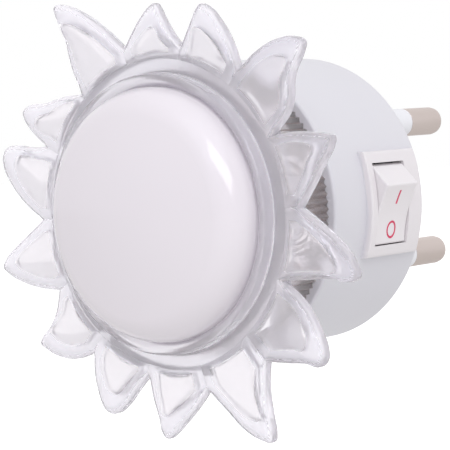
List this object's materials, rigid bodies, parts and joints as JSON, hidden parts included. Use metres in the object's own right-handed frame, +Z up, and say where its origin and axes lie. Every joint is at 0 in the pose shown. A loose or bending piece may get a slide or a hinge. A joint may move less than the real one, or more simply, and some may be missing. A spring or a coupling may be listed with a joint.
{
  "type": "plug-in night light",
  "caption": "Plug-in night light with a clear sun of uneven rays around an opal dome, a fluted clear sleeve, a white base with a side rocker switch, and sleeved round plug pins.",
  "frame": {"origin": "middle of the flat plug face, between the two pins", "axes": "+Y out of the plug face along the pins, the dome faces -Y, +Z up from lower pin to upper pin, the switch is on +X"},
  "size_m": [0.0591, 0.0685, 0.0559],
  "materials": {
    "white_plastic": "satin moulded plastic",
    "clear_plastic": "clear moulded plastic",
    "opal_plastic": "glossy milky plastic",
    "pin_metal": "nickel-plated brass",
    "pin_sleeve_plastic": "smooth insulating sleeve",
    "board_laminate": "brown paper laminate",
    "led_resin": "clear resin with plated leads",
    "capacitor_film": "moulded box",
    "capacitor_can": "sleeved can",
    "rectifier_resin": "moulded resin",
    "resistor_paint": "lacquered body",
    "case_plastic": "moulded heat-proof plastic",
    "retainer_plastic": "moulded plastic",
    "screw_steel": "zinc-plated",
    "spring_steel": "drawn wire",
    "contact_brass": "stamped strip",
    "wire_brown": "insulation over copper strands",
    "wire_blue": "insulation over copper strands"
  },
  "bodies": {
    "light": {"rear_housing": "white_plastic", "sun_cover": "clear_plastic", "fluted_sleeve": "clear_plastic", "opal_lens": "opal_plastic", "circuit_board": "board_laminate", "led_1": "led_resin", "led_2": "led_resin", "led_3": "led_resin", "box_capacitor": "capacitor_film", "can_capacitor": "capacitor_can", "bridge_rectifier": "rectifier_resin", "dropper_resistor": "resistor_paint", "bleed_resistor": "resistor_paint", "plug_pin_upper": "pin_metal", "plug_pin_lower": "pin_metal", "root_sleeve_upper": "pin_sleeve_plastic", "root_sleeve_lower": "pin_sleeve_plastic", "pin_retainer": "retainer_plastic", "retainer_screws": "screw_steel", "board_screws": "screw_steel", "switch_screws": "screw_steel", "switch_case": "case_plastic", "terminal_common": "contact_brass", "terminal_load": "contact_brass", "wire_live": "wire_brown", "wire_switched": "wire_brown", "wire_neutral": "wire_blue"},
    "rocker": {"rocker": "white_plastic"},
    "plunger": {"switch_plunger": "retainer_plastic", "plunger_spring": "spring_steel"},
    "contact": {"contact_lever": "contact_brass"}
  },
  "joints": [
    {"name": "rocker_tilt", "type": "hinge", "parent": "light", "child": "rocker", "pos_m": [0.0163, -0.0206, 0], "axis": [0, -1, 0], "range_deg": [0, 36]},
    {"name": "contact_tilt", "type": "hinge", "parent": "light", "child": "contact", "pos_m": [0.01016, -0.0206, 0], "axis": [0, 1, 0], "range_deg": [0, 16]},
    {"name": "plunger_slide", "type": "slide", "parent": "rocker", "child": "plunger", "axis": [0.9511, 0, -0.309], "range_m": [0, 0.0005], "stiffness_N_per_m": 60, "springref_m": -0.001, "deforming": ["plunger_spring"]}
  ],
  "couplings": [
    {"joint": "contact_tilt", "follows": "rocker_tilt", "ratio": 0.44444}
  ]
}
